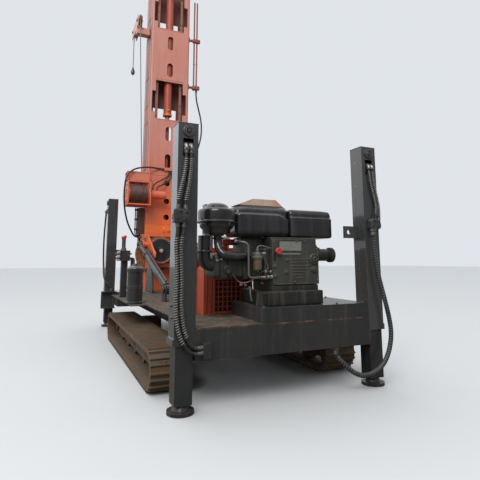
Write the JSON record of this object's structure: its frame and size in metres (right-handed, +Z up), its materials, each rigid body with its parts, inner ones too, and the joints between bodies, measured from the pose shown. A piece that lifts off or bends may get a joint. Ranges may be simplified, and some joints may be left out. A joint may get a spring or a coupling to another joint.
{
  "type": "crawler rotary drilling rig",
  "caption": "Small crawler rotary drilling rig with square jack legs at the corners, an engine at the rear and a tall box mast with a winch and a sliding drill head.",
  "frame": {"origin": "middle of the ground under the machine's bounding box", "axes": "+X to the machine's right, +Y forward to the mast, +Z up"},
  "size_m": [1.89, 4.825, 6],
  "materials": {
    "track_rust": "rusty, rough",
    "chassis_black": "satin, worn",
    "deck_brown": "rusty, matte",
    "slew_rust": "rusty, rough",
    "leg_grey": "satin",
    "leg_black": "satin, worn",
    "engine_grey": "oily, satin",
    "gloss_black": "glossy",
    "bright_steel": "worn",
    "head_black": "satin",
    "orange_paint": "satin, faded",
    "lid_salmon": "faded, matte",
    "hose_rubber": "satin",
    "oil_box_orange": "satin"
  },
  "bodies": {
    "chassis": {"track_left": "track_rust", "track_right": "track_rust", "track_frames": "track_rust", "track_wheels": "track_rust", "frame_rails": "chassis_black", "cross_members": "chassis_black", "deck_plates": "deck_brown", "engine_platform": "chassis_black", "leg_sleeve_rear_left": "leg_grey", "leg_sleeve_rear_right": "leg_grey", "leg_sleeve_front_left": "leg_grey", "leg_sleeve_front_right": "leg_grey", "leg_valves": "leg_grey", "engine_block": "engine_grey", "engine_cover": "engine_grey", "fuel_tank": "gloss_black", "tank_lid": "lid_salmon", "radiator_hood": "gloss_black", "air_cleaner": "gloss_black", "air_pipes": "gloss_black", "fuel_filter": "bright_steel", "hydraulic_pump": "engine_grey", "oil_tank": "oil_box_orange", "cooler_grille": "oil_box_orange", "valve_bank": "head_black", "oil_filter": "head_black", "mast_supports": "chassis_black", "hose_right": "hose_rubber", "hose_left_upper_a": "hose_rubber", "hose_left_upper_b": "hose_rubber", "hose_left_lower_a": "hose_rubber", "hose_left_lower_b": "hose_rubber", "hose_front_left": "hose_rubber"},
    "leg_rear_left": {"leg_inner_rear_left": "leg_black"},
    "leg_rear_right": {"leg_inner_rear_right": "leg_black"},
    "leg_front_left": {"leg_inner_front_left": "leg_black"},
    "leg_front_right": {"leg_inner_front_right": "leg_black"},
    "flywheel": {"flywheel": "engine_grey"},
    "raise_barrels": {"raise_barrels": "chassis_black"},
    "raise_rods": {"raise_rods": "bright_steel"},
    "mast": {"mast_carrier": "chassis_black", "slew_flange": "slew_rust", "mast": "orange_paint", "feed_cylinder": "orange_paint", "feed_chains": "slew_rust", "mast_pipes": "orange_paint", "hoist_bracket": "orange_paint", "hoist_rope": "bright_steel", "winch_frame": "orange_paint", "rod_clamp": "head_black", "hose_winch_a": "hose_rubber", "hose_winch_b": "hose_rubber", "hose_mast_left": "hose_rubber", "hose_mast_right": "hose_rubber"},
    "head": {"head_carriage": "head_black", "rotary_head": "head_black"},
    "spindle": {"spindle": "bright_steel"},
    "winch_drum": {"winch_drum": "bright_steel"},
    "hoist_sheave_rear": {"hoist_sheave_rear": "bright_steel"},
    "hoist_sheave_front": {"hoist_sheave_front": "bright_steel"}
  },
  "joints": [
    {"name": "leg_rear_left_slide", "type": "slide", "parent": "chassis", "child": "leg_rear_left", "axis": [0, 0, 1], "range_m": [-0.95, 0.3]},
    {"name": "leg_rear_right_slide", "type": "slide", "parent": "chassis", "child": "leg_rear_right", "axis": [0, 0, 1], "range_m": [-0.95, 0.3]},
    {"name": "leg_front_left_slide", "type": "slide", "parent": "chassis", "child": "leg_front_left", "axis": [0, 0, 1], "range_m": [-0.95, 0.3]},
    {"name": "leg_front_right_slide", "type": "slide", "parent": "chassis", "child": "leg_front_right", "axis": [0, 0, 1], "range_m": [-0.95, 0.3]},
    {"name": "flywheel_spin", "type": "hinge", "parent": "chassis", "child": "flywheel", "pos_m": [0.13, -1.8375, 0.94], "axis": [0, 1, 0], "continuous": true},
    {"name": "mast_tilt", "type": "hinge", "parent": "chassis", "child": "mast", "pos_m": [0, 1.0075, 1.08], "axis": [1, 0, 0], "range_deg": [0, 90]},
    {"name": "raise_barrel_turn", "type": "hinge", "parent": "chassis", "child": "raise_barrels", "pos_m": [0, -0.3925, 0.68], "axis": [1, 0, 0], "range_deg": [-1, 15]},
    {"name": "raise_rod_slide", "type": "slide", "parent": "raise_barrels", "child": "raise_rods", "axis": [0, 0.9519, 0.3065], "range_m": [-0.42, 0.005]},
    {"name": "head_feed", "type": "slide", "parent": "mast", "child": "head", "axis": [0, 0, 1], "range_m": [0, 3.5]},
    {"name": "spindle_spin", "type": "hinge", "parent": "head", "child": "spindle", "pos_m": [0, 2.2175, 0.8], "axis": [0, 0, 1], "continuous": true},
    {"name": "winch_spin", "type": "hinge", "parent": "mast", "child": "winch_drum", "pos_m": [-0.505, 1.4025, 2.035], "axis": [1, 0, 0], "continuous": true},
    {"name": "hoist_sheave_rear_spin", "type": "hinge", "parent": "mast", "child": "hoist_sheave_rear", "pos_m": [-0.54, 1.6325, 5.1], "axis": [1, 0, 0], "continuous": true},
    {"name": "hoist_sheave_front_spin", "type": "hinge", "parent": "mast", "child": "hoist_sheave_front", "pos_m": [-0.54, 2.0675, 5.1], "axis": [1, 0, 0], "continuous": true}
  ],
  "couplings": [
    {"joint": "raise_barrel_turn", "follows": "mast_tilt", "ratio": 0.15774},
    {"joint": "raise_rod_slide", "follows": "mast_tilt", "m_per_rad": -0.25998}
  ]
}
